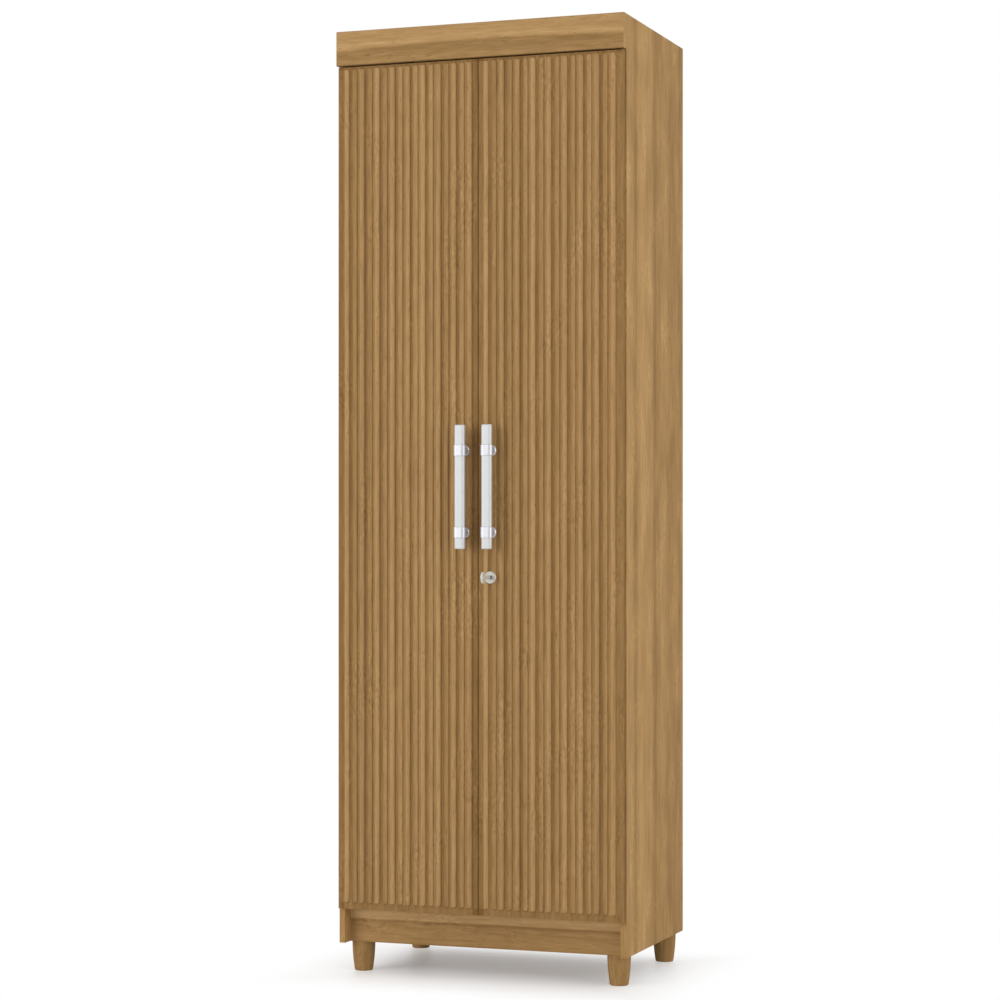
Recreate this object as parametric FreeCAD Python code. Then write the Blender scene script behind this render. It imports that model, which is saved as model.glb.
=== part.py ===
import FreeCAD, Part
import math
import os

os.makedirs("parts", exist_ok=True)
V = FreeCAD.Vector

# Storage cabinet in millimetres. X runs to the right as seen from the front, Y to the back, Z up.
# The origin is on the floor, midway between the outer sides and midway between key and back.

# Overall sizes
cabinet_width = 600.0
cabinet_height = 1878.0
cabinet_depth = 410.0
board = 12.0
foot_height = 60.0
fascia_height = 68.0
fascia_thickness = 18.0
fascia_edge_round = 2.0
plinth_height = 70.0
plinth_recess = 28.0
compartments = 5
fixed_shelf_number = 2
shelf_setback = 25.0
shelf_end_play = 2.0
shelf_back_play = 1.0
overrun = 1.0

# Back panel in rebates, with a joining strip between its two halves
back_sheet = 3.0
strip_flange = 0.8
strip_height = 18.0
rebate_width = 6.0
sheet_play = 0.3

# Doors with round-ended ribs that stand on a flat slab, inside a plain margin
rib_setback = 2.0
rib_height = 3.8
rib_width = 10.6
rib_round = 3.4
rib_count = 17
rib_inner_inset = 16.3
rib_outer_inset = 19.5
rib_top_margin = 4.0
rib_bottom_margin = 12.5
rib_root = 1.0
door_gap = 0.8
door_split = 2.0
door_reveal = 3.0
door_head_gap = 3.0

# Shelf pins and their holes
pin_radius = 2.5
pin_bite = 8.0
pin_play = 0.05
pin_collar_radius = 4.5
pin_collar = 1.5
peg_radius = 3.5
peg_length = 9.0
peg_flat = 2.0
pin_front_set = 45.0
pin_rear_set = 55.0
pin_hole_pitch = 32.0
pin_holes_each_way = 1

# Cam connectors at the ends of the fixed boards
cam_radius = 7.5
cam_depth = 10.0
cam_setback = 24.0
cam_bolt_radius = 3.2
cam_bolt_bite = 9.0
cam_play = 0.1
cam_end_set = 60.0

# Dowels that hold the fascia
dowel_radius = 3.0
dowel_length = 24.0
dowel_in_fascia = 10.0
dowel_end_set = 18.0
dowel_top_set = 120.0

# Feet, their studs and the blocks above them
foot_top_radius = 23.1
foot_bottom_radius = 18.3
foot_chamfer = 1.5
foot_bulge = 1.2
foot_side_inset = 30.9
foot_front_inset = 23.7
foot_rear_inset = 29.0
stud_radius = 4.0
stud_in_foot = 20.0
stud_in_block = 22.0
stud_play = 0.1
block_size = 60.0
block_height = 30.0
block_chamfer = 22.0

# Hinges: the cup and link turn with the door, the plate and arm stay on the side
hinge_axis_depth = 8.0
hinge_end_inset = 95.0
hinge_middle_compartments = [2, compartments - 1]
hinge_angle_clear = 0.3
cup_radius = 17.5
cup_depth = 9.0
cup_wall = 1.0
cup_edge_inset = 5.0
cup_play = 0.1
flange_thickness = 1.2
flange_half_height = 26.0
flange_width = 21.0
flange_round = 6.0
link_reach = 15.0
link_half_width = 5.5
link_thick = 7.0
plate_thickness = 2.5
plate_half_height = 26.0
plate_width = 20.0
plate_set = 37.0
spine_rise = 9.0
spine_half_width = 7.0
spine_length = 48.0
arm_wall = 1.6
arm_length = 58.0
arm_side_play = 0.2
arm_nose_round = 5.0
euro_head_radius = 4.5
euro_head = 2.2
euro_radius = 3.0
euro_bite = 9.0
euro_spacing = 16.0

# Handles
handle_rise = 717.3
handle_length = 243.0
handle_width = 21.5
handle_thickness = 12.0
handle_round = 5.5
handle_end_round = 2.5
handle_offset = 28.0
handle_stand = 23.0
post_spacing = 160.0
post_overhang = 32.5
post_height = 22.0
post_wall = 1.7
post_round = 1.3
post_boss_radius = 9.8
post_foot_radius = 11.5
post_foot_thick = 3.0
post_foot_rim = 1.0
post_play = 0.05
handle_screw_radius = 2.0
handle_screw_head_radius = 4.0
handle_screw_head = 2.4

# Lock, key and keeper
lock_offset = 27.0
lock_rise = 662.0
lock_ring_radius = 12.3
lock_ring_stand = 3.5
lock_ring_chamfer = 1.5
plug_radius = 8.0
plug_play = 0.1
plug_recess = 0.6
plug_dish_radius = 4.2
plug_dish_depth = 2.4
lock_case_half_width = 19.0
lock_case_half_height = 16.0
lock_case_depth = 10.0
lock_case_round = 3.0
cam_lever_thickness = 2.5
cam_lever_length = 33.0
cam_lever_half_width = 7.0
cam_lever_gap = 0.3
tail_radius = 4.0
tail_spare = 0.8
keyway_width = 2.6
keyway_height = 8.0
keyway_depth = 20.0
key_thickness = 2.2
key_blade_height = 7.4
key_blade_length = 18.0
key_shank = 30.0
key_head_length = 17.0
key_head_height = 28.0
key_head_thickness = 4.6
key_hole_radius = 2.5
key_head_corner = 7.5
key_head_chamfer = 0.8
keeper_width = 20.0
keeper_half_height = 11.0
keeper_edge_gap = 2.5
keeper_clear = 0.5
keeper_bevel = 3.0

# Bolt that holds the left door
bolt_offset = 30.0
bolt_rise = 30.0
bolt_case_height = 60.0
bolt_case_width = 22.0
bolt_base = 2.0
bolt_guide_height = 9.0
bolt_guide_width = 14.0
bolt_axis_stand = 9.0
bolt_radius = 3.5
bolt_play = 0.15
bolt_travel = 10.0
bolt_floor_gap = 1.5
bolt_hole_play = 0.8
bolt_hole_depth = 10.0
bolt_knob_radius = 3.0
bolt_knob_length = 8.0
bolt_top_spare = 6.0

# Door buffers
buffer_radius = 4.0
buffer_air = 0.3
buffer_offset = 20.0

# Planes worked out from the sizes above
key_reach = lock_ring_stand - rib_setback + key_shank + key_head_length
fascia_face = -(cabinet_depth - key_reach) / 2
back_face = fascia_face + cabinet_depth
carcass_front = fascia_face + fascia_thickness
crest_y = fascia_face + rib_setback
groove_y = crest_y + rib_height
door_back = carcass_front - door_gap
sheet_back = back_face - strip_flange
sheet_front = sheet_back - back_sheet
half_width = cabinet_width / 2
inner_half = half_width - board
plinth_face = carcass_front + plinth_recess
plinth_back = plinth_face + board
rear_rail_front = sheet_front - board
plinth_top = foot_height + plinth_height
floor_top = plinth_top + board
ceiling = cabinet_height - board
fascia_bottom = cabinet_height - fascia_height
door_bottom = plinth_top
door_top = fascia_bottom - door_head_gap
door_inner = door_split / 2
door_outer = half_width - door_reveal
rib_first = door_inner + rib_inner_inset
rib_pitch = (door_outer - rib_outer_inset - rib_first) / (rib_count - 1)
compartment_height = (ceiling - floor_top - (compartments - 1) * board) / compartments
axis_y = crest_y + hinge_axis_depth
cup_x = door_outer - cup_edge_inset - cup_radius
link_back = door_back + link_reach
plate_y = carcass_front + plate_set
handle_bottom = door_bottom + handle_rise
post_levels = [handle_bottom + post_overhang, handle_bottom + post_overhang + post_spacing]
bar_y = crest_y - handle_stand
lock_z = door_bottom + lock_rise
ring_face = crest_y - lock_ring_stand
plug_face = ring_face + plug_recess
case_back = door_back + lock_case_depth
lever_front = case_back + cam_lever_gap
lever_back = lever_front + cam_lever_thickness
bolt_y = door_back + bolt_axis_stand
bolt_case_bottom = floor_top + bolt_rise
bolt_rest = floor_top + bolt_floor_gap


def shelf_underside(number):
    return floor_top + number * compartment_height + (number - 1) * board


# An end hinge near each end of the door, and the others halfway up a compartment, clear of the shelves
hinge_levels = [door_bottom + hinge_end_inset]
hinge_levels += [shelf_underside(number) - compartment_height / 2 for number in hinge_middle_compartments]
hinge_levels += [door_top - hinge_end_inset]


def box(x0, x1, y0, y1, z0, z1):
    return Part.makeBox(x1 - x0, y1 - y0, z1 - z0, V(x0, y0, z0))


def rod(radius, start, direction, length):
    return Part.makeCylinder(radius, length, start, direction)


def flip(shape):
    return shape.mirror(V(0, 0, 0), V(1, 0, 0))


def prism(points, direction):
    return Part.Face(Part.makePolygon(points + points[:1])).extrude(direction)


def round_edges(shape, radius, keep):
    edges = [edge for edge in shape.Edges if keep(edge)]
    return shape.makeFillet(radius, edges)


def runs_along(edge, direction):
    span = edge.Vertexes[-1].Point.sub(edge.Vertexes[0].Point)
    return span.Length > 0 and abs(span.normalize().dot(direction)) > math.cos(math.radians(1))


def cut(shape, tools):
    return shape.cut(tools) if tools else shape


def save(node, pieces):
    shape = pieces[0] if len(pieces) == 1 else Part.makeCompound(pieces)
    shape.exportStep("parts/" + node + ".step")


# Places of the cam connectors: a board end, and how far from front and back
cam_places = [carcass_front + cam_end_set, sheet_front - cam_end_set]
joined_boards = [ceiling, plinth_top, shelf_underside(fixed_shelf_number)]
pin_places = [carcass_front + shelf_setback + pin_front_set, sheet_front - pin_rear_set]
loose_shelves = [n for n in range(1, compartments) if n != fixed_shelf_number]
side_dowel_levels = [fascia_bottom + dowel_end_set, cabinet_height - dowel_end_set]


def cam_bolt_tool(y, z, play):
    length = cam_bolt_bite + cam_setback - cam_radius + 2 * play
    return rod(cam_bolt_radius + play, V(inner_half + cam_bolt_bite + play, y, z), V(-1, 0, 0), length)


def cam_nut_tool(y, underside, play):
    return rod(cam_radius + play, V(inner_half - cam_setback, y, underside), V(0, 0, 1), cam_depth)


def dowel_tool(x, z, play):
    start = V(x, carcass_front - dowel_in_fascia - play, z)
    return rod(dowel_radius + play, start, V(0, 1, 0), dowel_length + 2 * play)


def dowel_spots():
    side = [(inner_half + board / 2, z) for z in side_dowel_levels]
    return side + [(dowel_top_set, cabinet_height - board / 2)]


def pin_hole(y, z):
    return rod(pin_radius + pin_play, V(inner_half, y, z), V(1, 0, 0), pin_bite + pin_play)


def pin_levels(number):
    axis = shelf_underside(number) - peg_flat
    return [axis + step * pin_hole_pitch for step in range(-pin_holes_each_way, pin_holes_each_way + 1)]


def euro_spots():
    return [z + end * euro_spacing for z in hinge_levels for end in (-1, 1)]


def side_panel():
    panel = box(inner_half, half_width, carcass_front, back_face, foot_height, cabinet_height)
    rebate = box(inner_half - overrun, inner_half + rebate_width, sheet_front,
                 back_face + overrun, foot_height - overrun, cabinet_height + overrun)
    tools = [rebate]
    tools += [pin_hole(y, z) for n in loose_shelves for y in pin_places for z in pin_levels(n)]
    tools += [cam_bolt_tool(y, z + board / 2, cam_play) for z in joined_boards for y in cam_places]
    tools += [dowel_tool(inner_half + board / 2, z, cam_play) for z in side_dowel_levels]
    for z in euro_spots():
        tools.append(rod(euro_radius + pin_play, V(inner_half, plate_y, z), V(1, 0, 0), euro_bite + pin_play))
    return cut(panel, tools)


def joined_board(underside, front):
    shape = box(-inner_half, inner_half, front, sheet_front, underside, underside + board)
    tools = []
    for y in cam_places:
        pair = [cam_nut_tool(y, underside, cam_play), cam_bolt_tool(y, underside + board / 2, cam_play)]
        tools += pair + [flip(tool) for tool in pair]
    return cut(shape, tools)


def top_panel():
    spots = [dowel_tool(side * dowel_top_set, cabinet_height - board / 2, cam_play) for side in (-1, 1)]
    return cut(joined_board(ceiling, carcass_front), spots)


def bottom_panel():
    hole = rod(bolt_radius + bolt_hole_play, V(-bolt_offset, bolt_y, floor_top - bolt_hole_depth),
               V(0, 0, 1), bolt_hole_depth + overrun)
    return cut(joined_board(plinth_top, carcass_front), [hole])


def loose_shelf(number):
    half = inner_half - shelf_end_play
    under = shelf_underside(number)
    return box(-half, half, carcass_front + shelf_setback, sheet_front - shelf_back_play, under, under + board)


def fascia_board():
    shape = box(-half_width, half_width, fascia_face, carcass_front, fascia_bottom, cabinet_height)
    shape = round_edges(shape, fascia_edge_round, lambda edge: edge.CenterOfMass.y < fascia_face + overrun)
    spots = [dowel_tool(side * x, z, cam_play) for x, z in dowel_spots() for side in (-1, 1)]
    return cut(shape, spots)


def rail(front):
    return box(-inner_half, inner_half, front, front + board, foot_height, plinth_top)


def back_sheet_piece(low, high):
    half = inner_half + rebate_width - sheet_play
    return box(-half, half, sheet_front, sheet_back, low, high)


strip_z = shelf_underside(fixed_shelf_number) + board + compartment_height / 2


def back_strip():
    half = inner_half - sheet_play
    web = box(-half, half, sheet_front, sheet_back, strip_z - strip_flange / 2, strip_z + strip_flange / 2)
    low, high = strip_z - strip_height / 2, strip_z + strip_height / 2
    front = box(-half, half, sheet_front - strip_flange, sheet_front, low, high)
    rear = box(-half, half, sheet_back, back_face, low, high)
    return web.fuse([front, rear]).removeSplitter()


def shelf_pin(y, z):
    stem = rod(pin_radius, V(inner_half - pin_collar, y, z), V(1, 0, 0), pin_collar + pin_bite)
    collar = rod(pin_collar_radius, V(inner_half - pin_collar, y, z), V(1, 0, 0), pin_collar)
    peg = rod(peg_radius, V(inner_half - pin_collar - peg_length, y, z), V(1, 0, 0), peg_length)
    above = box(inner_half - pin_collar - peg_length - overrun, inner_half - pin_collar,
                y - peg_radius - overrun, y + peg_radius + overrun, z + peg_flat, z + peg_radius + overrun)
    return stem.fuse([collar, peg.cut(above)]).removeSplitter()


def shelf_pins():
    level = [shelf_underside(n) - peg_flat for n in loose_shelves]
    right = [shelf_pin(y, z) for z in level for y in pin_places]
    return right + [flip(pin) for pin in right]


def foot_places():
    x = half_width - foot_side_inset
    return {"foot_front_left": (-x, plinth_face + foot_front_inset),
            "foot_front_right": (x, plinth_face + foot_front_inset),
            "foot_rear_left": (-x, back_face - foot_rear_inset),
            "foot_rear_right": (x, back_face - foot_rear_inset)}


def foot(x, y):
    low = V(foot_bottom_radius - foot_chamfer, 0, 0)
    edge = V(foot_bottom_radius, 0, foot_chamfer)
    top = V(foot_top_radius, 0, foot_height)
    belly = (edge + top) / 2 + V(foot_bulge, 0, 0)
    outline = [Part.LineSegment(V(0, 0, 0), low).toShape(),
               Part.LineSegment(low, edge).toShape(),
               Part.Arc(edge, belly, top).toShape(),
               Part.LineSegment(top, V(0, 0, foot_height)).toShape(),
               Part.LineSegment(V(0, 0, foot_height), V(0, 0, 0)).toShape()]
    shape = Part.Face(Part.Wire(outline)).revolve(V(0, 0, 0), V(0, 0, 1), 360)
    bore = rod(stud_radius + stud_play, V(0, 0, foot_height - stud_in_foot - stud_play), V(0, 0, 1),
               stud_in_foot + stud_play + overrun)
    shape = shape.cut(bore)
    shape.translate(V(x, y, 0))
    return shape


def stud(x, y):
    return rod(stud_radius, V(x, y, foot_height - stud_in_foot), V(0, 0, 1), stud_in_foot + stud_in_block)


def corner_block(side, y, inward):
    near = side * inner_half
    far = side * (inner_half - block_size)
    skew = side * (inner_half - block_size + block_chamfer)
    depth = y + inward * block_size
    short = y + inward * (block_size - block_chamfer)
    outline = [(near, y), (near, depth), (skew, depth), (far, short), (far, y)]
    return prism([V(px, py, foot_height) for px, py in outline], V(0, 0, block_height))


def corner_blocks():
    blocks = []
    for x, y in foot_places().values():
        side = math.copysign(1, x)
        front = y < 0
        start, inward = (plinth_back, 1) if front else (rear_rail_front, -1)
        bore = rod(stud_radius + stud_play, V(x, y, foot_height - overrun), V(0, 0, 1),
                   stud_in_block + stud_play + overrun)
        blocks.append(corner_block(side, start, inward).cut(bore))
    return blocks


def rib(x):
    half = rib_width / 2
    low, high = door_bottom + rib_bottom_margin + half, door_top - rib_top_margin - half
    y = groove_y + rib_root
    corners = [V(x - half, y, low), V(x + half, y, low), V(x + half, y, high), V(x - half, y, high)]
    outline = [Part.Arc(corners[0], V(x, y, low - half), corners[1]).toShape(),
               Part.LineSegment(corners[1], corners[2]).toShape(),
               Part.Arc(corners[2], V(x, y, high + half), corners[3]).toShape(),
               Part.LineSegment(corners[3], corners[0]).toShape()]
    shape = Part.Face(Part.Wire(outline)).extrude(V(0, -(rib_height + rib_root), 0))
    return round_edges(shape, rib_round, lambda edge: edge.BoundBox.YMax < groove_y)


def door_slab():
    slab = box(door_inner, door_outer, groove_y, door_back, door_bottom, door_top)
    slab = slab.fuse([rib(rib_first + i * rib_pitch) for i in range(rib_count)])
    tools = [rod(cup_radius + cup_play, V(cup_x, door_back + overrun, z), V(0, -1, 0),
                 cup_depth + cup_play + overrun) for z in hinge_levels]
    for z in post_levels:
        tools.append(rod(handle_screw_radius + cup_play, V(handle_offset, crest_y - overrun, z),
                         V(0, 1, 0), door_back - crest_y + 2 * overrun))
    return slab, tools


def door_left():
    slab, tools = door_slab()
    return flip(cut(slab, tools))


def door_right():
    slab, tools = door_slab()
    tools.append(rod(plug_radius + 2 * plug_play, V(lock_offset, crest_y - overrun, lock_z), V(0, 1, 0),
                     door_back - crest_y + 2 * overrun))
    return cut(slab, tools)


def hinge_cup(z):
    bowl = rod(cup_radius, V(cup_x, door_back, z), V(0, -1, 0), cup_depth)
    ear = box(cup_x - flange_width / 2, cup_x + flange_width / 2, door_back, door_back + flange_thickness,
              z - flange_half_height, z + flange_half_height)
    ear = round_edges(ear, flange_round, lambda edge: runs_along(edge, V(0, 1, 0)))
    hollow = rod(cup_radius - cup_wall, V(cup_x, door_back + flange_thickness + overrun, z), V(0, -1, 0),
                 cup_depth - cup_wall + flange_thickness + overrun)
    rim = rod(cup_radius, V(cup_x, door_back, z), V(0, 1, 0), door_gap - buffer_air)
    return bowl.fuse([ear, rim]).removeSplitter().cut(hollow)


def hinge_link(z):
    floor = door_back - cup_depth + cup_wall
    outer = inner_half - plate_thickness - cup_wall
    inner = outer - link_thick
    knee = door_back + cup_edge_inset
    outline = [(inner - cup_edge_inset - link_thick, floor), (inner - link_thick, floor),
               (outer, knee), (outer, link_back), (inner, link_back), (inner, knee)]
    points = [V(px, py, z - link_half_width) for px, py in outline]
    return prism(points, V(0, 0, 2 * link_half_width))


def hinge_plate(z):
    wing = box(inner_half - plate_thickness, inner_half, plate_y - plate_width / 2, plate_y + plate_width / 2,
               z - plate_half_height, z + plate_half_height)
    wing = round_edges(wing, flange_round, lambda edge: runs_along(edge, V(1, 0, 0)))
    spine = box(inner_half - spine_rise, inner_half, plate_y - plate_width / 2,
                plate_y - plate_width / 2 + spine_length, z - spine_half_width, z + spine_half_width)
    holes = [rod(euro_radius + pin_play, V(inner_half - plate_thickness - overrun, plate_y, z + end * euro_spacing),
                 V(1, 0, 0), plate_thickness + 2 * overrun) for end in (-1, 1)]
    return wing.fuse(spine).removeSplitter().cut(holes)


def hinge_arm(z):
    near = inner_half - plate_thickness - arm_side_play
    far = inner_half - spine_rise - arm_wall
    side = spine_half_width + arm_side_play + arm_wall
    start = link_back + hinge_angle_clear
    shell = box(far, near, start, start + arm_length, z - side, z + side)
    shell = round_edges(shell, arm_nose_round, lambda edge: runs_along(edge, V(0, 0, 1))
                        and edge.CenterOfMass.x < far + overrun)
    nose = plate_y - plate_width / 2 - arm_side_play
    hollow = box(inner_half - spine_rise, near + overrun, nose, start + arm_length + overrun,
                 z - spine_half_width - arm_side_play, z + spine_half_width + arm_side_play)
    return shell.cut(hollow)


def euro_screw(z):
    head = rod(euro_head_radius, V(inner_half - plate_thickness, plate_y, z), V(-1, 0, 0), euro_head)
    shank = rod(euro_radius, V(inner_half - plate_thickness, plate_y, z), V(1, 0, 0), plate_thickness + euro_bite)
    return head.fuse(shank).removeSplitter()


def bar_section(grow):
    half_w, half_t = handle_width / 2 + grow, handle_thickness / 2 + grow
    section = box(handle_offset - half_w, handle_offset + half_w, bar_y - half_t, bar_y + half_t,
                  handle_bottom, handle_bottom + handle_length)
    return round_edges(section, handle_round + grow, lambda edge: runs_along(edge, V(0, 0, 1)))


def handle_bar():
    screw_holes = [rod(handle_screw_radius + post_play, V(handle_offset, bar_y, z), V(0, 1, 0), handle_thickness)
                   for z in post_levels]
    bar = round_edges(bar_section(0), handle_end_round, lambda edge: edge.BoundBox.ZLength < handle_end_round)
    return cut(bar, screw_holes)


def handle_post(z):
    low, high = z - post_height / 2, z + post_height / 2
    band = box(handle_offset - handle_width, handle_offset + handle_width, bar_y - handle_thickness,
               bar_y + handle_thickness, low, high)
    ring = bar_section(post_wall).common(band)
    ring = round_edges(ring, post_round, lambda edge: edge.BoundBox.ZLength < post_round)
    flare_y = crest_y - post_foot_thick
    boss = rod(post_boss_radius, V(handle_offset, bar_y, z), V(0, 1, 0), flare_y - bar_y)
    flare = Part.makeCone(post_boss_radius, post_foot_radius, post_foot_thick - post_foot_rim,
                          V(handle_offset, flare_y, z), V(0, 1, 0))
    rim = rod(post_foot_radius, V(handle_offset, crest_y - post_foot_rim, z), V(0, 1, 0), post_foot_rim)
    bore = rod(handle_screw_radius + post_play, V(handle_offset, bar_y, z), V(0, 1, 0), handle_stand + overrun)
    return ring.fuse([boss, flare, rim]).removeSplitter().cut([bar_section(post_play), bore])


def handle_screw(z):
    head = rod(handle_screw_head_radius, V(handle_offset, door_back, z), V(0, 1, 0), handle_screw_head)
    start = bar_y + handle_thickness / 2 - post_wall
    shank = rod(handle_screw_radius, V(handle_offset, start, z), V(0, 1, 0), door_back - start)
    return head.fuse(shank).removeSplitter()


def lock_ring():
    inner = plug_radius + plug_play
    shoulder = lock_ring_radius - lock_ring_chamfer
    outline = [V(inner, 0, 0), V(lock_ring_radius, 0, 0), V(lock_ring_radius, lock_ring_chamfer - lock_ring_stand, 0),
               V(shoulder, -lock_ring_stand, 0), V(inner, -lock_ring_stand, 0)]
    ring = Part.Face(Part.makePolygon(outline + outline[:1])).revolve(V(0, 0, 0), V(0, 1, 0), 360)
    ring.translate(V(lock_offset, crest_y, lock_z))
    return ring


def lock_case():
    case = box(lock_offset - lock_case_half_width, lock_offset + lock_case_half_width, door_back, case_back,
               lock_z - lock_case_half_height, lock_z + lock_case_half_height)
    case = round_edges(case, lock_case_round, lambda edge: runs_along(edge, V(0, 1, 0)))
    bore = rod(plug_radius + plug_play, V(lock_offset, door_back - overrun, lock_z), V(0, 1, 0),
               lock_case_depth + 2 * overrun)
    return case.cut(bore)


def lock_plug():
    body = rod(plug_radius, V(lock_offset, plug_face, lock_z), V(0, 1, 0), lever_front - plug_face)
    tail = rod(tail_radius, V(lock_offset, lever_front, lock_z), V(0, 1, 0), cam_lever_thickness + tail_spare)
    dish = Part.makeCone(plug_dish_radius, keyway_width / 2, plug_dish_depth, V(lock_offset, plug_face, lock_z),
                         V(0, 1, 0))
    slot = box(lock_offset - keyway_width / 2, lock_offset + keyway_width / 2, plug_face - overrun,
               plug_face + keyway_depth, lock_z - keyway_height / 2, lock_z + keyway_height / 2)
    return body.fuse(tail).cut([dish, slot])


def lock_cam():
    low = lock_z - cam_lever_length
    lever = box(lock_offset - cam_lever_half_width, lock_offset + cam_lever_half_width, lever_front, lever_back,
                low, lock_z)
    ends = [rod(cam_lever_half_width, V(lock_offset, lever_front, z), V(0, 1, 0), cam_lever_thickness)
            for z in (low, lock_z)]
    bore = rod(tail_radius + pin_play, V(lock_offset, lever_front - overrun, lock_z), V(0, 1, 0),
               cam_lever_thickness + 2 * overrun)
    return lever.fuse(ends).removeSplitter().cut(bore)


def key():
    head_y = ring_face - key_shank - key_head_length / 2
    blade = box(lock_offset - key_thickness / 2, lock_offset + key_thickness / 2, head_y,
                plug_face + key_blade_length, lock_z - key_blade_height / 2, lock_z + key_blade_height / 2)
    head = box(lock_offset - key_head_thickness / 2, lock_offset + key_head_thickness / 2,
               head_y - key_head_length / 2, head_y + key_head_length / 2,
               lock_z - key_head_height / 2, lock_z + key_head_height / 2)
    head = round_edges(head, key_head_corner, lambda edge: runs_along(edge, V(1, 0, 0)))
    rims = [edge for edge in head.Edges if edge.BoundBox.XLength < key_head_chamfer]
    head = head.makeChamfer(key_head_chamfer, rims)
    hole = rod(key_hole_radius, V(lock_offset - key_head_thickness, head_y - key_head_length / 4, lock_z),
               V(1, 0, 0), 2 * key_head_thickness)
    return head.fuse(blade).removeSplitter().cut(hole)


def lock_keeper():
    left = -(door_inner + keeper_edge_gap + keeper_width)
    right = -(door_inner + keeper_edge_gap)
    rear = case_back - keeper_clear
    outline = [(left, door_back), (right, door_back), (right, rear - keeper_bevel),
               (right - keeper_bevel, rear), (left, rear)]
    points = [V(px, py, lock_z - keeper_half_height) for px, py in outline]
    return prism(points, V(0, 0, 2 * keeper_half_height))


def bolt_case():
    half = bolt_case_width / 2
    top = bolt_case_bottom + bolt_case_height
    base = box(-bolt_offset - half, -bolt_offset + half, door_back, door_back + bolt_base, bolt_case_bottom, top)
    guide_half = bolt_guide_width / 2
    guides = [box(-bolt_offset - guide_half, -bolt_offset + guide_half, door_back, bolt_y + guide_half,
                  z, z + bolt_guide_height)
              for z in (bolt_case_bottom, top - bolt_guide_height)]
    bore = rod(bolt_radius + bolt_play, V(-bolt_offset, bolt_y, bolt_case_bottom - overrun), V(0, 0, 1),
               bolt_case_height + 2 * overrun)
    return base.fuse(guides).removeSplitter().cut(bore)


def bolt_rod():
    top = bolt_case_bottom + bolt_case_height + bolt_top_spare + bolt_travel
    shank = rod(bolt_radius, V(-bolt_offset, bolt_y, bolt_rest), V(0, 0, 1), top - bolt_rest)
    knob_z = bolt_case_bottom + bolt_case_height / 2 + bolt_travel / 2
    knob = rod(bolt_knob_radius, V(-bolt_offset, bolt_y, knob_z), V(0, 1, 0), bolt_radius + bolt_knob_length)
    return shank.fuse(knob)


def door_buffers():
    levels = [plinth_top + board / 2, shelf_underside(fixed_shelf_number) + board / 2]
    return [rod(buffer_radius, V(buffer_offset, door_back, z), V(0, 1, 0), door_gap - buffer_air) for z in levels]


def save_pair(name, right):
    save(name + "_right", right)
    save(name + "_left", [flip(shape) for shape in right])


def save_carcass():
    save_pair("side_panel", [side_panel()])
    save("top_panel", [top_panel()])
    save("bottom_panel", [bottom_panel()])
    save("fixed_shelf", [joined_board(shelf_underside(fixed_shelf_number), carcass_front)])
    for place, number in enumerate(loose_shelves, start=1):
        save("loose_shelf_" + str(place), [loose_shelf(number)])
    save("fascia_board", [fascia_board()])
    save("plinth_rail", [rail(plinth_face)])
    save("rear_rail", [rail(rear_rail_front)])
    save("back_sheet_lower", [back_sheet_piece(foot_height, strip_z - strip_flange / 2)])
    save("back_sheet_upper", [back_sheet_piece(strip_z + strip_flange / 2, cabinet_height)])
    save("back_strip", [back_strip()])
    save("shelf_pins", shelf_pins())
    save("corner_blocks", corner_blocks())
    for node, place in foot_places().items():
        save(node, [foot(*place)])
    save("foot_studs", [stud(*place) for place in foot_places().values()])


def save_connectors():
    bolts = [cam_bolt_tool(y, z + board / 2, 0) for z in joined_boards for y in cam_places]
    nuts = [cam_nut_tool(y, z, 0) for z in joined_boards for y in cam_places]
    dowels = [dowel_tool(x, z, 0) for x, z in dowel_spots()]
    save("cam_bolts", bolts + [flip(bolt) for bolt in bolts])
    save("cam_nuts", nuts + [flip(nut) for nut in nuts])
    save("fascia_dowels", dowels + [flip(dowel) for dowel in dowels])


def save_hinges():
    save_pair("hinge_cups", [hinge_cup(z) for z in hinge_levels])
    save_pair("hinge_links", [hinge_link(z) for z in hinge_levels])
    save_pair("hinge_plates", [hinge_plate(z) for z in hinge_levels])
    save_pair("hinge_arms", [hinge_arm(z) for z in hinge_levels])
    save_pair("hinge_screws", [euro_screw(z) for z in euro_spots()])


def save_doors():
    save("door_left", [door_left()])
    save("door_right", [door_right()])
    save_pair("handle_bar", [handle_bar()])
    save_pair("handle_posts", [handle_post(z) for z in post_levels])
    save_pair("handle_screws", [handle_screw(z) for z in post_levels])
    save_pair("door_buffers", door_buffers())


def save_lock_and_bolt():
    save("lock_ring", [lock_ring()])
    save("lock_case", [lock_case()])
    save("lock_plug", [lock_plug()])
    save("lock_cam", [lock_cam()])
    save("lock_keeper", [lock_keeper()])
    save("key", [key()])
    save("bolt_case", [bolt_case()])
    save("bolt_rod", [bolt_rod()])


save_carcass()
save_connectors()
save_hinges()
save_doors()
save_lock_and_bolt()
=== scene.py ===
import bpy
import bmesh
import math
from mathutils import Matrix, Vector


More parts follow.
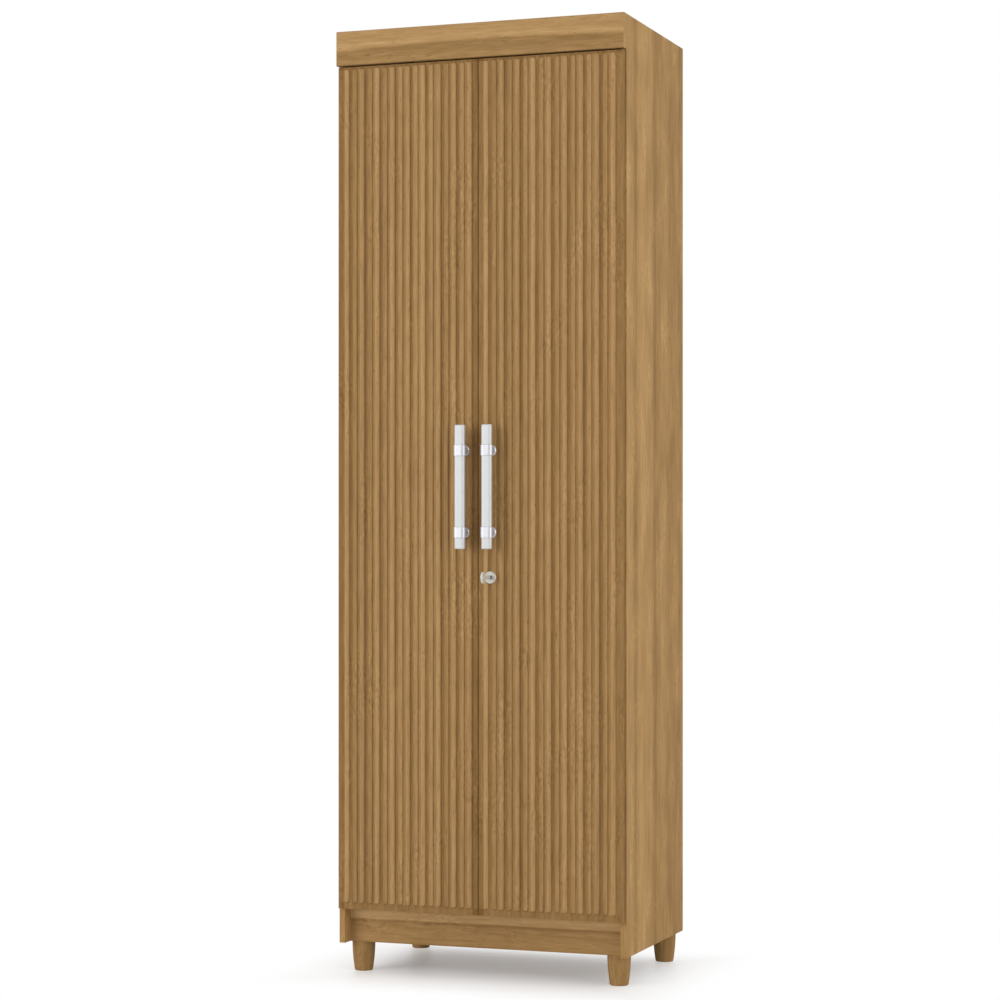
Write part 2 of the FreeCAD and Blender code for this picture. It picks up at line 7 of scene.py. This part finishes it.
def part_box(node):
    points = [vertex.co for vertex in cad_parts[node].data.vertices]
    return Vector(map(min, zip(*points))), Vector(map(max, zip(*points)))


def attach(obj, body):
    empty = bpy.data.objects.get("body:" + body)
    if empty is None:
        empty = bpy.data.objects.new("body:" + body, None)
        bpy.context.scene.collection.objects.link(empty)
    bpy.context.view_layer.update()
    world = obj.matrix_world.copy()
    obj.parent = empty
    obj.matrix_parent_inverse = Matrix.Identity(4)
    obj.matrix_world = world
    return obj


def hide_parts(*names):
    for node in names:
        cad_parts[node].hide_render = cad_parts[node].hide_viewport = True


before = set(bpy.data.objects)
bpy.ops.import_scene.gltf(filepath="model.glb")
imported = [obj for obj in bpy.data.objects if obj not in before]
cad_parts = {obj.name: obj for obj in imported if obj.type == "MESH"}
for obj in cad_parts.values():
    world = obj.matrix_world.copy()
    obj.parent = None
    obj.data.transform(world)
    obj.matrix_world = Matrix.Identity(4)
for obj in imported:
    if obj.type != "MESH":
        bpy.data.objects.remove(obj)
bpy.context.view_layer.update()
print("frame loaded:", len(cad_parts), "nodes")


# one wrapped socket, so that shader maths reads as Python
class Link:
    def __init__(self, shader, socket):
        self.shader = shader
        self.socket = socket

    def calc(self, operation, *others):
        return self.shader.node("Math", {"operation": operation}, self, *others)

    def __add__(self, other):
        return self.calc("ADD", other)

    def __sub__(self, other):
        return self.calc("SUBTRACT", other)

    def __rsub__(self, other):
        return self.shader.node("Math", {"operation": "SUBTRACT"}, other, self)

    def __mul__(self, other):
        return self.calc("MULTIPLY", other)

    def __truediv__(self, other):
        return self.calc("DIVIDE", other)

    __radd__ = __add__
    __rmul__ = __mul__


class Shader:
    def __init__(self, name):
        self.material = bpy.data.materials.new(name)
        self.material.use_nodes = True
        self.tree = self.material.node_tree
        self.surface = self.tree.nodes["Principled BSDF"]

    # type, settings, then the values or links of its sockets by place or by name
    def node(self, kind, settings, *values, out=0, **named):
        made = self.tree.nodes.new("ShaderNode" + kind)
        for key, value in settings.items():
            if key == "stops":
                self.setStops(made.color_ramp, value)
            else:
                setattr(made, key, value)
        for place, value in list(enumerate(values)) + list(named.items()):
            self.feed(made.inputs[place], value)
        return Link(self, made.outputs[out])

    def setStops(self, ramp, stops):
        while len(ramp.elements) < len(stops):
            ramp.elements.new(1.0)
        for element, (place, shade) in zip(ramp.elements, stops):
            element.position = place
            element.color = opaque(shade)

    def feed(self, socket, value):
        if isinstance(value, Link):
            self.tree.links.new(value.socket, socket)
        elif value is not None:
            socket.default_value = value

    def noise(self, place, size, detail, twist=0.0):
        return self.node("TexNoise", {}, Vector=place, Scale=1.0 / size, Detail=detail, Distortion=twist)

    # 0 to 1 as the value goes from start to end, in either direction
    def fade(self, value, start, end):
        return self.node("MapRange", {"interpolation_type": "SMOOTHSTEP"}, value, start, end)

    def split(self, vector):
        parts = self.node("SeparateXYZ", {}, vector).socket.node
        return [Link(self, socket) for socket in parts.outputs]

    def mix(self, factor, first, second, how="MIX"):
        made = self.tree.nodes.new("ShaderNodeMix")
        made.data_type = "RGBA"
        made.blend_type = how
        for socket, value in zip((0, 6, 7), (factor, first, second)):
            self.feed(made.inputs[socket], value)
        return Link(self, made.outputs[2])

    def finish(self, **sockets):
        for name, value in sockets.items():
            self.feed(self.surface.inputs[name.replace("_", " ")], value)
        return self.material


# a colour as a screen shows it, 0 to 255 a part, made linear
def screen(red, green, blue):
    parts = [part / 255.0 for part in (red, green, blue)]
    return tuple(part / 12.92 if part <= 0.04045 else ((part + 0.055) / 1.055) ** 2.4 for part in parts)


def opaque(shade):
    return (*shade, 1.0)


# wood print: tone stops, sizes in metres across the grain, and how far each pattern moves the tone
oak = {
    "stops": [(0.0, screen(118, 86, 48)), (0.3, screen(145, 113, 71)), (0.5, screen(165, 130, 85)),
              (0.65, screen(177, 142, 96)), (1.0, screen(206, 172, 122))],
    "bandSize": 0.050, "bandTone": 0.16,
    "ringSize": 0.0080, "ringTone": 0.34, "ringTwist": 0.5,
    "fibreSize": 0.0013, "fibreTone": 0.26,
    "fleckSize": 0.0016, "fleckTone": 0.30,
    "fleckFrom": 0.62, "fleckTo": 0.72, "fleckRings": (-0.05, 0.10),  # flecks lie in the lighter rings
    "blotchSize": 0.0060, "blotchTone": 0.36,
    "figureSize": 0.055, "figureFrom": 0.56, "figureTo": 0.64,  # patches that hold the mottling
    "mottleSize": 0.0042, "mottleTone": 0.55,
    "length": 0.03, "fleckLength": 0.12, "figureLength": 0.40,  # the smaller, the longer along the grain
    "seedShift": (1.0, 0.7, 1.3),
    "roughness": 0.58, "fibreGloss": 0.15, "fleckGloss": 0.12, "specular": 0.04,
    "reliefStrength": 0.10, "reliefDepth": 0.0003,
}


# soft light or dark streaks along an axis: place, half width, tone
def streakTone(shader, along, streaks):
    tone = 0.0
    for place, half, strength in streaks:
        offset = (along - place) / half
        tone = shader.node("Math", {"operation": "POWER"}, math.e, offset * offset * -1.0) * strength + tone
    return tone


def grainStretch(grain, length):
    return [length if axis == grain else 1.0 for axis in "XYZ"]


# layout gives the large tones of a board from its place and the broad bands of its grain
def oakMaterial(name, grain, layout, seed=0.0, rough=0.0, tint=None, cloudy=0.0):
    shader = Shader(name)
    place = shader.node("TexCoord", {}, out="Object")
    shift = [seed * part for part in oak["seedShift"]]
    long = shader.node("Mapping", {}, place, Location=shift, Scale=grainStretch(grain, oak["length"]))
    short = shader.node("Mapping", {}, place, Location=shift, Scale=grainStretch(grain, oak["fleckLength"]))
    squat = shader.node("Mapping", {}, place, Location=shift, Scale=grainStretch(grain, oak["figureLength"]))
    bands = shader.noise(long, oak["bandSize"], detail=2.0) - 0.5
    rings = shader.noise(long, oak["ringSize"], detail=3.0, twist=oak["ringTwist"]) - 0.5
    fibre = shader.noise(long, oak["fibreSize"], detail=2.0) - 0.5
    specks = shader.noise(short, oak["fleckSize"], detail=1.0)
    fleck = shader.fade(specks, oak["fleckFrom"], oak["fleckTo"]) * shader.fade(rings, *oak["fleckRings"])
    blotch = shader.noise(short, oak["blotchSize"], detail=2.0) - 0.5
    figure = shader.noise(squat, oak["figureSize"], detail=1.0)
    mottle = shader.noise(squat, oak["mottleSize"], detail=1.0) - 0.5
    mottle = mottle * shader.fade(figure, oak["figureFrom"], oak["figureTo"])
    tone = bands * oak["bandTone"] + rings * oak["ringTone"] + fibre * oak["fibreTone"]
    tone = tone + blotch * oak["blotchTone"] + (figure - 0.5) * cloudy
    tone = tone + mottle * oak["mottleTone"] - fleck * oak["fleckTone"] + layout(shader, place, bands)
    body = shader.node("ValToRGB", {"stops": oak["stops"]}, tone)
    if tint:
        body = shader.mix(1.0, body, opaque(tint), "MULTIPLY")
    gloss = oak["roughness"] + rough + fibre * oak["fibreGloss"] + fleck * oak["fleckGloss"]
    relief = shader.node("Bump", {}, Strength=oak["reliefStrength"], Distance=oak["reliefDepth"],
                         Height=fibre - fleck)
    shader.surface.inputs["Specular IOR Level"].default_value = oak["specular"]
    return shader.finish(Base_Color=body, Roughness=gloss, Normal=relief)


# the ribs stand in a sunk field: crest and field are depths in metres, pitch and first are the ribs' places
doorLook = {
    "crest": -0.17875, "field": -0.17495, "faceSoft": 0.0001,
    "first": 0.0173, "pitch": 0.01626,
    # fieldShade is painted shade in the sunk field around the ribs, darker as the face sinks
    "crestTone": 0.456, "fieldShade": 0.05, "backTone": 0.50,
    # edgeTone paints the door's outer side faces dark, as painted shade of the gap beside them
    "edgeTone": 0.24, "edgeFrom": 0.2935, "edgeTo": 0.2965,
    "rimDrop": 0.10, "rimFrom": 0.2830, "rimTo": 0.2860,
    # darkLine is a dark line down the left door's outer margin
    "darkLine": [(-0.2885, 0.0035, -0.16)],
    "pairTone": 0.050, "pairSlope": 0.085,  # every second rib is darker, and each has one darker flank
    "lotTone": 0.10, "lotsApart": 37.0,  # and no two ribs are quite alike
    # the sunk field is painted darker still as painted shade along the middle, where the doors meet, and
    # along the foot, and as the fascia's painted shadow along the head
    "middleHalf": 0.0100, "middleSoft": 0.0045, "middleShade": 0.20,
    "footLine": 0.1435, "footShade": 0.17,
    "headLine": 1.8020, "headShadow": 0.25, "lineSoft": 0.002,
}


def doorLayout(shader, place, bands):
    look = doorLook
    across, depth, up = shader.split(place)
    side = across.calc("SIGN")
    reach = across.calc("ABSOLUTE")
    sunk = shader.fade(depth, look["crest"], look["field"])
    behind = shader.fade(depth, look["field"] + look["faceSoft"], look["field"] + look["faceSoft"] * 3)
    number = ((reach - look["first"]) / look["pitch"]).calc("ROUND")
    lot = shader.node("TexWhiteNoise", {"noise_dimensions": "1D"}, W=number + side * look["lotsApart"]) - 0.5
    swing = (across - side * look["first"]) * (math.pi / look["pitch"])
    pair = swing.calc("COSINE") * look["pairTone"] - swing.calc("SINE") * look["pairSlope"]
    middle = shader.fade(reach, look["middleHalf"] + look["middleSoft"], look["middleHalf"])
    foot = shader.fade(up, look["footLine"] + look["lineSoft"], look["footLine"] - look["lineSoft"])
    head = shader.fade(up, look["headLine"] - look["lineSoft"], look["headLine"] + look["lineSoft"])
    ribbed = look["crestTone"] + (pair + lot * look["lotTone"]) * (1.0 - foot.calc("MAXIMUM", head))
    # painted shade in the sunk field, deeper along the middle and the foot, and the fascia's painted shadow
    # along the head
    sunkShade = look["fieldShade"] + middle * look["middleShade"]
    sunkShade = sunkShade + foot * look["footShade"] + head * look["headShadow"]
    rim = shader.fade(reach, look["rimFrom"], look["rimTo"])
    front = ribbed - sunk * sunkShade - rim * look["rimDrop"] + streakTone(shader, across, look["darkLine"])
    tone = front + (look["backTone"] - front) * behind
    # the outer side faces are painted dark, as painted shade of the gap beside them
    edge = shader.fade(reach, look["edgeFrom"], look["edgeTo"])
    return tone + (look["edgeTone"] - tone) * edge


sideLook = {
    "tone": 0.55, "tint": (1.0, 0.985, 0.91), "cloudTone": 0.48,
    "edgeTone": 0.48, "edgeFrom": -0.1605, "edgeTo": -0.1622,
    "streaks": [(-0.104, 0.014, -0.20), (-0.057, 0.020, 0.06), (0.026, 0.014, -0.17), (0.055, 0.030, -0.10),
                (0.128, 0.038, -0.11), (0.165, 0.030, -0.08), (0.208, 0.018, -0.17)],
    "wander": 0.010,
}


def sideLayout(shader, place, bands):
    look = sideLook
    depth = shader.split(place)[1]
    tone = streakTone(shader, depth + bands * look["wander"], look["streaks"]) + look["tone"]
    edge = shader.fade(depth, look["edgeFrom"], look["edgeTo"])
    return tone + (look["edgeTone"] - tone) * edge


# the fascia is light above a wavy line and darker below it, and its ends are as the sides
fasciaLook = {
    "upperTone": 0.55, "lowerTone": 0.34, "line": 1.8465, "arch": 0.10, "soft": 0.004, "wander": 0.014,
    "streaks": [(1.8540, 0.0060, 0.10), (1.841, 0.005, -0.04), (1.818, 0.006, 0.03)],
    "endTone": 0.54, "endFrom": 0.2992, "endTo": 0.2998,
}


def fasciaLayout(shader, place, bands):
    look = fasciaLook
    across, depth, up = shader.split(place)
    level = up + across * across * look["arch"] + bands * look["wander"]
    upper = shader.fade(level, look["line"] - look["soft"], look["line"] + look["soft"])
    tone = upper * (look["upperTone"] - look["lowerTone"]) + streakTone(shader, level, look["streaks"])
    tone = tone + look["lowerTone"]
    end = shader.fade(across.calc("ABSOLUTE"), look["endFrom"], look["endTo"])
    return tone + (look["endTone"] - tone) * end


# the plinth has a lighter printed strip along its top, painted lighter than the print as painted light where
# the doors shade it, and it is painted lighter towards its ends as painted light against the side panels'
# shade
plinthLook = {
    "tone": 0.34, "stripLine": 0.1075, "stripTone": 0.31, "soft": 0.0016, "wander": 0.006, "endLight": 1.6,
    # streaks: painted light near the top, where the doors shade the plinth, then a dark line under the
    # strip, a faint dark band and a dark line along the bottom edge
    "streaks": [(0.1200, 0.0050, 0.16), (0.1035, 0.0030, -0.10), (0.0840, 0.0060, -0.02),
                (0.0610, 0.0045, -0.10)],
}


def plinthLayout(shader, place, bands):
    look = plinthLook
    across, depth, up = shader.split(place)
    level = up + bands * look["wander"]
    strip = shader.fade(level, look["stripLine"] - look["soft"], look["stripLine"] + look["soft"])
    tone = strip * look["stripTone"] + streakTone(shader, level, look["streaks"]) + look["tone"]
    # painted light towards the ends, against the shade of the side panels
    return tone + across * across * look["endLight"]


# boards of one tone: those inside, the feet and the raw wood of the blocks
plainLook = {"innerTone": 0.55, "footTone": 0.36, "blockTone": 0.75, "blockRough": 0.15}


def plainLayout(tone):
    return lambda shader, place, bands: tone


def dress(material, *names):
    for name in names:
        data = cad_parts[name].data
        data.materials.clear()
        data.materials.append(material)


dress(oakMaterial("doorOak", "Z", doorLayout, 1.0), "door_left", "door_right")
dress(oakMaterial("sideOak", "Z", sideLayout, 2.0, tint=sideLook["tint"], cloudy=sideLook["cloudTone"]),
      "side_panel_left", "side_panel_right")
dress(oakMaterial("fasciaOak", "X", fasciaLayout, 3.0), "fascia_board")
dress(oakMaterial("plinthOak", "X", plinthLayout, 4.0), "plinth_rail")
dress(oakMaterial("innerOak", "X", plainLayout(plainLook["innerTone"]), 5.0), "top_panel", "bottom_panel",
      "fixed_shelf", "rear_rail", "loose_shelf_1", "loose_shelf_2", "loose_shelf_3")
dress(oakMaterial("footOak", "Z", plainLayout(plainLook["footTone"]), 6.0), "foot_front_left",
      "foot_front_right", "foot_rear_left", "foot_rear_right")
dress(oakMaterial("blockWood", "Z", plainLayout(plainLook["blockTone"]), 7.0, rough=plainLook["blockRough"]),
      "corner_blocks", "fascia_dowels")
print("wood print set")


# metals, plastic and board: grain is the size of the finest mark, brush draws it out along Z
finishes = {
    "barSatin": {"shade": (0.54, 0.545, 0.545), "roughness": 0.42, "metallic": 0.25, "grain": 0.0004,
                 "brush": 0.02, "variation": 0.05, "relief": 0.03},
    "postChrome": {"shade": (0.545, 0.55, 0.58), "roughness": 0.24, "metallic": 0.35, "grain": 0.0010,
                   "brush": 1.0, "variation": 0.03, "relief": 0.0},
    "keyNickel": {"shade": (0.58, 0.56, 0.50), "roughness": 0.34, "metallic": 0.12, "grain": 0.0006,
                  "brush": 1.0, "variation": 0.06, "relief": 0.02},
    "ringNickel": {"shade": (0.465, 0.445, 0.405), "roughness": 0.32, "metallic": 0.20, "grain": 0.0006,
                   "brush": 1.0, "variation": 0.06, "relief": 0.02},
    "zincSteel": {"shade": (0.60, 0.60, 0.61), "roughness": 0.34, "metallic": 1.0, "grain": 0.0008,
                  "brush": 1.0, "variation": 0.10, "relief": 0.03},
    "stripPlastic": {"shade": (0.72, 0.70, 0.66), "roughness": 0.45, "metallic": 0.0, "grain": 0.0006,
                     "brush": 1.0, "variation": 0.04, "relief": 0.03},
    "backBoard": {"shade": (0.74, 0.71, 0.66), "roughness": 0.60, "metallic": 0.0, "grain": 0.0012,
                  "brush": 1.0, "variation": 0.06, "relief": 0.04},
}
# every finish wears alike, towards a darker shade of its own, and the lock's plug has its keyhole painted
# dark, as painted shade of the keyway
wear = {"cloudScale": 45.0, "level": 0.5, "darker": 0.4, "markGloss": 0.12, "cloudGloss": 0.10,
        "reliefDepth": 0.0002}
paintedKeyway = {"middle": (0.027, 0.792), "inner": 0.0034, "outer": 0.0046, "dark": (0.055, 0.055, 0.058)}


# keyholeShade paints a dark round spot seen from the front, the painted shade of the keyway: its middle, its
# inner and outer radius and its shade
def finishMaterial(name, keyholeShade=None):
    look = finishes[name]
    shader = Shader(name if keyholeShade is None else name + "Pupil")
    place = shader.node("TexCoord", {}, out="Object")
    drawn = shader.node("Mapping", {}, place, Scale=grainStretch("Z", look["brush"]))
    marks = shader.noise(drawn, look["grain"], detail=2.0) - 0.5
    cloud = shader.node("TexNoise", {}, Vector=place, Scale=wear["cloudScale"], Detail=2.0) - 0.5
    worn = (marks + cloud) * look["variation"] + look["variation"] * wear["level"]
    dull = [part * wear["darker"] for part in look["shade"]]
    toned = shader.mix(worn, opaque(look["shade"]), opaque(dull))
    if keyholeShade:
        across, depth, up = shader.split(place)
        away = shader.node("CombineXYZ", {}, across - keyholeShade["middle"][0], 0.0, up - keyholeShade["middle"][1])
        reach = shader.node("VectorMath", {"operation": "LENGTH"}, away, out="Value")
        # painted shade of the keyway: dark inside the inner radius, fading out by the outer
        toned = shader.mix(shader.fade(reach, keyholeShade["outer"], keyholeShade["inner"]), toned, opaque(keyholeShade["dark"]))
    gloss = marks * wear["markGloss"] + cloud * wear["cloudGloss"] + look["roughness"]
    relief = shader.node("Bump", {}, Strength=look["relief"], Distance=wear["reliefDepth"], Height=marks)
    shader.surface.inputs["Metallic"].default_value = look["metallic"]
    return shader.finish(Base_Color=toned, Roughness=gloss, Normal=relief)


dress(finishMaterial("barSatin"), "handle_bar_left", "handle_bar_right")
dress(finishMaterial("postChrome"), "handle_posts_left", "handle_posts_right")
dress(finishMaterial("ringNickel"), "lock_ring")
dress(finishMaterial("ringNickel", paintedKeyway), "lock_plug")
dress(finishMaterial("zincSteel"), "foot_studs", "cam_bolts", "cam_nuts", "lock_cam", "lock_case",
      "lock_keeper", "bolt_case", "bolt_rod", "hinge_cups_left", "hinge_cups_right", "hinge_links_left",
      "hinge_links_right", "hinge_arms_left", "hinge_arms_right", "hinge_plates_left", "hinge_plates_right",
      "hinge_screws_left", "hinge_screws_right", "handle_screws_left", "handle_screws_right")
dress(finishMaterial("stripPlastic"), "back_strip", "shelf_pins", "door_buffers_left", "door_buffers_right")
dress(finishMaterial("backBoard"), "back_sheet_lower", "back_sheet_upper")
print("fittings set")


# the key: a holed bow, then a shoulder and a blade cut along its lower edge, in metres and degrees
keyLook = {
    "bowHeight": 0.0230, "bowLength": 0.0170, "bowThick": 0.0042, "bowSides": 44,
    "bowRound": 0.0010, "bowSteps": 3, "cornerAngle": 60.0,
    "holeAhead": 0.0036, "holeRadius": 0.0026,
    "shoulderHeight": 0.0104, "shoulderLength": 0.0045,
    "bladeHeight": 0.0074, "bladeThick": 0.0022, "tipBack": 0.0022, "tipRise": 0.0008,
    "cuts": (0.0012, 0.0024, 0.0010, 0.0020, 0.0015),
    "cutPitch": 0.0030, "cutFlat": 0.0006, "cutSlope": 0.45,
    "softAngle": 35.0,
}


# flat faces drawn in the plane of the key become a plate of this thickness about that plane
def plate(shape, faces, thick):
    before = {vert for face in faces for vert in face.verts}
    made = bmesh.ops.extrude_face_region(shape, geom=faces)["geom"]
    risen = [item for item in made if isinstance(item, bmesh.types.BMVert)]
    bmesh.ops.translate(shape, vec=(0.0, 0.0, thick / 2), verts=risen)
    bmesh.ops.translate(shape, vec=(0.0, 0.0, -thick / 2), verts=list(before))


def drawBow(shape):
    look = keyLook
    rim = bmesh.ops.create_circle(shape, segments=look["bowSides"], radius=0.5)["verts"]
    bmesh.ops.scale(shape, vec=(look["bowLength"], look["bowHeight"], 1.0), verts=rim)
    hole = bmesh.ops.create_circle(shape, segments=look["bowSides"], radius=look["holeRadius"])["verts"]
    bmesh.ops.translate(shape, vec=(-look["holeAhead"], 0.0, 0.0), verts=hole)
    plate(shape, bmesh.ops.bridge_loops(shape, edges=shape.edges[:])["faces"], look["bowThick"])
    limit = math.radians(look["cornerAngle"])
    corners = [edge for edge in shape.edges if edge.is_manifold and edge.calc_face_angle() > limit]
    bmesh.ops.bevel(shape, geom=corners, offset=look["bowRound"], affect="EDGES", segments=look["bowSteps"],
                    profile=0.5, material=-1)


# the blade's outline starts inside the bow, runs along its upper edge to the tip, and back along the cuts
def drawBlade(shape, tip):
    look = keyLook
    half, shoulder = look["bladeHeight"] / 2, look["shoulderHeight"] / 2
    bowEnd = look["bowLength"] / 2
    neck = bowEnd + look["shoulderLength"]
    cutsEnd = tip - look["tipBack"]
    outline = [(bowEnd / 2, shoulder), (neck, shoulder), (neck, half), (cutsEnd, half),
               (tip, look["tipRise"]), (cutsEnd, -half)]
    for number, depth in enumerate(look["cuts"]):
        middle = cutsEnd - (number + 0.5) * look["cutPitch"]
        flat = look["cutFlat"] / 2
        reach = flat + depth * look["cutSlope"]
        outline += [(middle + reach, -half), (middle + flat, depth - half), (middle - flat, depth - half),
                    (middle - reach, -half)]
    outline += [(neck, -half), (neck, -shoulder), (bowEnd / 2, -shoulder)]
    face = shape.faces.new([shape.verts.new((along, up, 0.0)) for along, up in outline])
    plate(shape, [face], look["bladeThick"])


# an extrude leaves its faces in another order each run, so they are put in the order of their corners
def sortFaces(shape):
    shape.verts.index_update()
    count = len(shape.verts)

    def rank(face):
        first, second, third = sorted(vert.index for vert in face.verts)[:3]
        return (first * count + second) * count + third

    shape.faces.sort(key=rank)


def buildKey():
    low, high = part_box("key")
    middle = ((low[0] + high[0]) / 2, low[1] + keyLook["bowLength"] / 2, (low[2] + high[2]) / 2)
    shape = bmesh.new()
    drawBow(shape)
    drawBlade(shape, high[1] - middle[1])
    sortFaces(shape)
    bmesh.ops.recalc_face_normals(shape, faces=shape.faces)
    turned = Matrix(((0.0, 0.0, 1.0), (1.0, 0.0, 0.0), (0.0, 1.0, 0.0)))
    bmesh.ops.transform(shape, matrix=Matrix.Translation(middle) @ turned.to_4x4(), verts=shape.verts)
    mesh = bpy.data.meshes.new("cutKey")
    shape.to_mesh(mesh)
    shape.free()
    mesh.shade_smooth()
    mesh.set_sharp_from_angle(angle=math.radians(keyLook["softAngle"]))
    mesh.materials.append(finishMaterial("keyNickel"))
    made = bpy.data.objects.new("cutKey", mesh)
    bpy.context.scene.collection.objects.link(made)
    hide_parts("key")
    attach(made, "key")


buildKey()
print("key made")


# near the cabinet the floor keeps its shadow and is lifted a little, and further out it is seen as white
stageLook = {
    "floorHalf": 14.0, "floorShade": (0.84, 0.84, 0.84), "floorRoughness": 0.45, "lift": 0.205,
    "under": (0.300, 0.205), "openFrom": -0.10, "openTo": 0.16,
    "worldStrength": 0.61, "white": (1.0, 1.0, 1.0),
}


# 1 where the camera sees a surface itself, in a reflection or through glass
def seenRays(tree):
    rays = tree.nodes.new("ShaderNodeLightPath")
    seen = None
    for name in ("Is Camera Ray", "Is Glossy Ray", "Is Transmission Ray"):
        if seen is None:
            seen = rays.outputs[name]
            continue
        either = tree.nodes.new("ShaderNodeMath")
        either.operation = "MAXIMUM"
        tree.links.new(seen, either.inputs[0])
        tree.links.new(rays.outputs[name], either.inputs[1])
        seen = either.outputs[0]
    return seen


def buildStage():
    shader = Shader("paleFloor")
    seen = Link(shader, seenRays(shader.tree))
    place = shader.node("TexCoord", {}, out="Object")
    across, along, up = [part.calc("ABSOLUTE") for part in shader.split(place)]
    clear = (across - stageLook["under"][0]).calc("MAXIMUM", along - stageLook["under"][1])
    lift = shader.node("Emission", {}, opaque(stageLook["white"]), seen * stageLook["lift"])
    shader.finish(Base_Color=opaque(stageLook["floorShade"]), Roughness=stageLook["floorRoughness"])
    near = shader.node("AddShader", {}, Link(shader, shader.surface.outputs[0]), lift)
    white = shader.node("Emission", {}, opaque(stageLook["white"]), 1.0)
    openFloor = shader.fade(clear, stageLook["openFrom"], stageLook["openTo"]) * seen
    both = shader.node("MixShader", {}, openFloor, near, white)
    shader.tree.links.new(both.socket, shader.tree.nodes["Material Output"].inputs[0])
    shape = bmesh.new()
    bmesh.ops.create_grid(shape, x_segments=1, y_segments=1, size=stageLook["floorHalf"])
    mesh = bpy.data.meshes.new("floor")
    shape.to_mesh(mesh)
    shape.free()
    floor = bpy.data.objects.new("floor", mesh)
    bpy.context.scene.collection.objects.link(floor)
    mesh.materials.append(shader.material)


def buildWorld():
    world = bpy.data.worlds.new("studio")
    bpy.context.scene.world = world
    world.use_nodes = True
    nodes, links = world.node_tree.nodes, world.node_tree.links
    nodes.clear()
    soft = nodes.new("ShaderNodeBackground")
    bright = nodes.new("ShaderNodeBackground")
    for back, strength in ((soft, stageLook["worldStrength"]), (bright, 1.0)):
        back.inputs[0].default_value = opaque(stageLook["white"])
        back.inputs[1].default_value = strength
    blend = nodes.new("ShaderNodeMixShader")
    links.new(seenRays(world.node_tree), blend.inputs[0])
    links.new(soft.outputs[0], blend.inputs[1])
    links.new(bright.outputs[0], blend.inputs[2])
    out = nodes.new("ShaderNodeOutputWorld")
    links.new(blend.outputs[0], out.inputs[0])


# soft lamps: place, size of the square and power
lamps = {
    "keySoft": ((-3.0, -3.7, 1.75), 3.4, 104.0),
    "fillRight": ((4.0, -1.5, 1.75), 3.4, 78.0),
}
lampAim = (0.0, 0.0, 0.9)


def areaLight(name, place, size, power):
    lamp = bpy.data.lights.new(name, "AREA")
    lamp.size = size
    lamp.energy = power
    made = bpy.data.objects.new(name, lamp)
    made.location = place
    made.rotation_euler = (Vector(lampAim) - Vector(place)).to_track_quat("-Z", "Y").to_euler()
    bpy.context.scene.collection.objects.link(made)


buildStage()
buildWorld()
for name, (place, size, power) in lamps.items():
    areaLight(name, place, size, power)
print("stage and lamps set")


# a level camera whose lens is shifted up, fitted to the photo
cameraFit = {
    "place": (1.81138, -5.03664, 0.86792),
    "yaw": 19.96,
    "focalPixels": 2650.457,
    "imagePixels": 1000.0,
    "horizonRow": 538.606,
    "sensor": 36.0,
    "clipEnd": 100.0,
}


def buildCamera():
    lens = bpy.data.cameras.new("photoCamera")
    lens.sensor_width = cameraFit["sensor"]
    lens.lens = cameraFit["focalPixels"] * cameraFit["sensor"] / cameraFit["imagePixels"]
    lens.shift_y = (cameraFit["horizonRow"] - cameraFit["imagePixels"] / 2) / cameraFit["imagePixels"]
    lens.clip_end = cameraFit["clipEnd"]
    camera = bpy.data.objects.new("photoCamera", lens)
    camera.location = cameraFit["place"]
    camera.rotation_euler = (math.radians(90.0), 0.0, math.radians(cameraFit["yaw"]))
    bpy.context.scene.collection.objects.link(camera)
    bpy.context.scene.camera = camera


buildCamera()
bpy.context.scene.view_settings.view_transform = "Standard"
